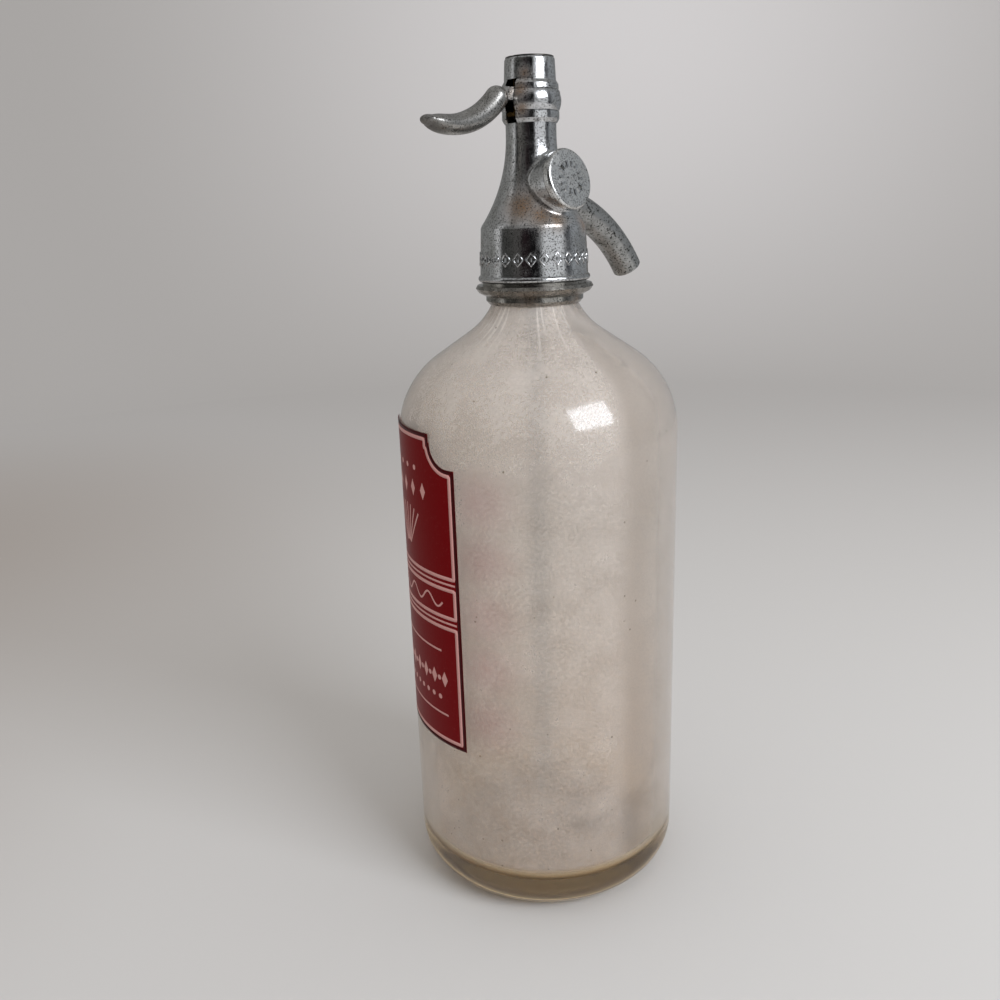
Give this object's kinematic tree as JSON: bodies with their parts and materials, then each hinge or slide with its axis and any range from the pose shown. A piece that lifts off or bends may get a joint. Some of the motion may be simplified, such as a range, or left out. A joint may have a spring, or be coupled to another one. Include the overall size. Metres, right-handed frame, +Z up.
{
  "type": "soda siphon",
  "caption": "Glass soda siphon bottle with a plated screw-on head, finger lever that opens a spring-closed valve, curved spout, round side cap and dip tube.",
  "frame": {"origin": "middle of the foot ring, on the surface the bottle stands on", "axes": "+Z up along the bottle's axis; the spout points to +X, the finger lever to -X, the round side cap to -Y"},
  "size_m": [0.1046, 0.1, 0.296],
  "materials": {
    "glass": "thick hazy clear glass, worn outside",
    "plated_head": "worn bright plating on cast metal",
    "plated_collar": "tarnished plating",
    "cast_grey": "dull pitted cast metal",
    "spout_metal": "dull scratched tube",
    "brass": "machined",
    "steel": "machined",
    "black_rubber": "moulded",
    "tube_glass": "clear glass tube"
  },
  "bodies": {
    "bottle": {"glass_bottle": "glass", "collar_half_front": "plated_collar", "collar_half_back": "plated_collar", "neck_gasket": "black_rubber", "head_body": "plated_head", "side_cap": "plated_head", "side_cap_washer": "black_rubber", "spout_tube": "spout_metal", "ferrule": "plated_head", "top_plug": "plated_head", "lever_pivot_pin": "steel", "valve_seat": "brass", "stem_packing": "black_rubber", "gland_nut": "brass", "tube_holder": "brass", "tube_sleeve": "black_rubber", "dip_tube": "tube_glass"},
    "lever": {"lever": "cast_grey"},
    "plunger": {"plunger": "brass", "thrust_pin": "steel", "valve_washer": "black_rubber", "valve_retainer": "brass", "plunger_spring": "steel"}
  },
  "joints": [
    {"name": "lever_press", "type": "hinge", "parent": "bottle", "child": "lever", "pos_m": [0.0066, 0, 0.2843], "axis": [0, -1, 0], "range_deg": [0, 16], "stiffness_Nm_per_rad": 0.15, "springref_deg": -28.65},
    {"name": "plunger_slide", "type": "slide", "parent": "bottle", "child": "plunger", "axis": [0, 0, -1], "range_m": [0, 0.002], "stiffness_N_per_m": 10, "springref_m": -0.01, "deforming": ["plunger_spring"]}
  ],
  "couplings": [
    {"joint": "plunger_slide", "follows": "lever_press", "m_per_rad": 0.0069}
  ]
}
